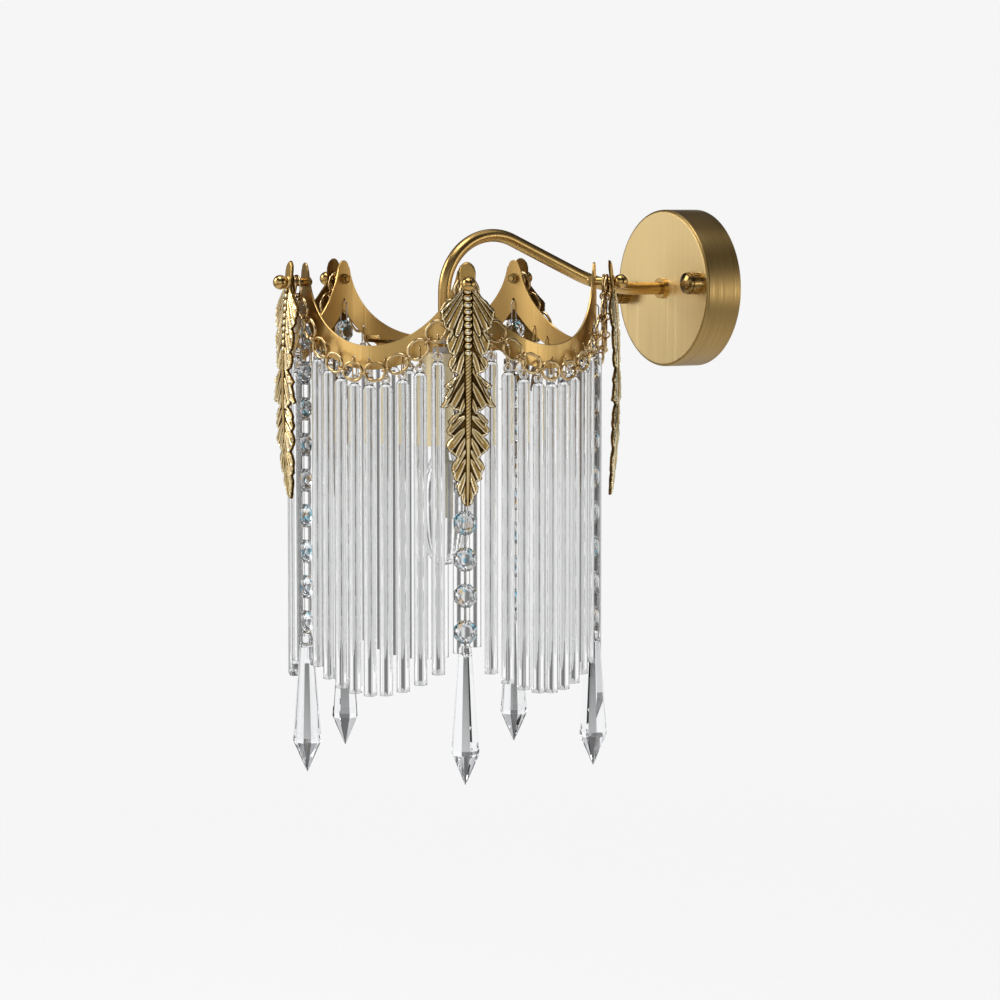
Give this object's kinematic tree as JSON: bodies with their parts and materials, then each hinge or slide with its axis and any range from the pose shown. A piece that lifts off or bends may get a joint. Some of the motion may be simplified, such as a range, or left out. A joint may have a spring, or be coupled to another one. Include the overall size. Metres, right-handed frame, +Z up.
{
  "type": "wall sconce",
  "caption": "Wall light: a bent brass tube on a round canopy carries a scalloped crown band hung with glass rods, leaves, chain swags and bead strands.",
  "frame": {"origin": "middle of the wall bracket's back face, on the wall, at the centre of the round canopy", "axes": "+Y into the wall, -Y out into the room, +Z up, +X to the right for someone who faces the wall"},
  "size_m": [0.2161, 0.3019, 0.3411],
  "materials": {
    "zinc_steel": "zinc plated, satin",
    "brushed_brass": "pale brass, brushed",
    "polished_brass": "satin to polished",
    "antique_gold": "antique gold with darkened recesses",
    "chain_gold": "pale gold plate, polished",
    "rod_glass": "clear, drawn rod",
    "bead_glass": "clear, cut and polished",
    "silver_wire": "polished",
    "gold_sleeve": "pale gold, satin",
    "holder_plastic": "matt",
    "cap_metal": "satin",
    "bulb_glass": "clear",
    "light_stick": "matt yellow"
  },
  "bodies": {
    "fixture": {"wall_bracket": "zinc_steel", "canopy_studs": "zinc_steel", "stud_nuts": "zinc_steel", "canopy_cover": "brushed_brass", "canopy_cap_nuts": "polished_brass", "arm_tube": "polished_brass", "arm_collar": "polished_brass", "arm_lock_nut": "zinc_steel", "terminal_block": "holder_plastic", "lamp_lead": "holder_plastic", "spider_bar": "brushed_brass", "arm_end_nuts": "zinc_steel", "crown_band": "brushed_brass", "lamp_holder": "holder_plastic", "candle_sleeve": "gold_sleeve", "bulb_cap": "cap_metal", "bulb_glass": "bulb_glass", "bulb_filament": "light_stick", "point_screws": "zinc_steel", "ball_knobs": "polished_brass", "point_spacers": "polished_brass", "point_nuts": "polished_brass", "leaf_1": "antique_gold", "leaf_2": "antique_gold", "leaf_3": "antique_gold", "leaf_4": "antique_gold", "leaf_5": "antique_gold", "swag_chain_1": "chain_gold", "swag_chain_2": "chain_gold", "swag_chain_3": "chain_gold", "swag_chain_4": "chain_gold", "swag_chain_5": "chain_gold", "rod_hooks_1": "chain_gold", "rod_hooks_2": "chain_gold", "rod_hooks_3": "chain_gold", "rod_hooks_4": "chain_gold", "rod_hooks_5": "chain_gold", "glass_rods_1": "rod_glass", "glass_rods_2": "rod_glass", "glass_rods_3": "rod_glass", "glass_rods_4": "rod_glass", "glass_rods_5": "rod_glass", "strand_hooks": "silver_wire"},
    "strand_1": {"bead_strand_1": "bead_glass", "strand_links_1": "silver_wire"},
    "pendant_1": {"drop_1": "bead_glass"},
    "strand_2": {"bead_strand_2": "bead_glass", "strand_links_2": "silver_wire"},
    "pendant_2": {"drop_2": "bead_glass"},
    "strand_3": {"bead_strand_3": "bead_glass", "strand_links_3": "silver_wire"},
    "pendant_3": {"drop_3": "bead_glass"},
    "strand_4": {"bead_strand_4": "bead_glass", "strand_links_4": "silver_wire"},
    "pendant_4": {"drop_4": "bead_glass"},
    "strand_5": {"bead_strand_5": "bead_glass", "strand_links_5": "silver_wire"},
    "pendant_5": {"drop_5": "bead_glass"}
  },
  "joints": [
    {"name": "strand_1_swing", "type": "hinge", "parent": "fixture", "child": "strand_1", "pos_m": [-0.0097, -0.28129, -0.01886], "axis": [0.9945, -0.1045, 0], "range_deg": [-2.5, 12]},
    {"name": "drop_1_swing", "type": "hinge", "parent": "strand_1", "child": "pendant_1", "pos_m": [-0.0097, -0.28129, -0.2105], "axis": [0.9945, -0.1045, 0], "range_deg": [-12, 12]},
    {"name": "strand_2_swing", "type": "hinge", "parent": "fixture", "child": "strand_2", "pos_m": [0.08478, -0.22675, -0.01886], "axis": [0.4067, 0.9135, 0], "range_deg": [-2.5, 12]},
    {"name": "drop_2_swing", "type": "hinge", "parent": "strand_2", "child": "pendant_2", "pos_m": [0.08478, -0.22675, -0.2105], "axis": [0.4067, 0.9135, 0], "range_deg": [-12, 12]},
    {"name": "strand_3_swing", "type": "hinge", "parent": "fixture", "child": "strand_3", "pos_m": [0.06209, -0.12004, -0.01886], "axis": [-0.7431, 0.6691, 0], "range_deg": [-2.5, 12]},
    {"name": "drop_3_swing", "type": "hinge", "parent": "strand_3", "child": "pendant_3", "pos_m": [0.06209, -0.12004, -0.2105], "axis": [-0.7431, 0.6691, 0], "range_deg": [-12, 12]},
    {"name": "strand_4_swing", "type": "hinge", "parent": "fixture", "child": "strand_4", "pos_m": [-0.0464, -0.10863, -0.01886], "axis": [-0.866, -0.5, 0], "range_deg": [-2.5, 12]},
    {"name": "drop_4_swing", "type": "hinge", "parent": "strand_4", "child": "pendant_4", "pos_m": [-0.0464, -0.10863, -0.2105], "axis": [-0.866, -0.5, 0], "range_deg": [-12, 12]},
    {"name": "strand_5_swing", "type": "hinge", "parent": "fixture", "child": "strand_5", "pos_m": [-0.09077, -0.20829, -0.01886], "axis": [0.2079, -0.9781, 0], "range_deg": [-2.5, 12]},
    {"name": "drop_5_swing", "type": "hinge", "parent": "strand_5", "child": "pendant_5", "pos_m": [-0.09077, -0.20829, -0.2105], "axis": [0.2079, -0.9781, 0], "range_deg": [-12, 12]}
  ]
}
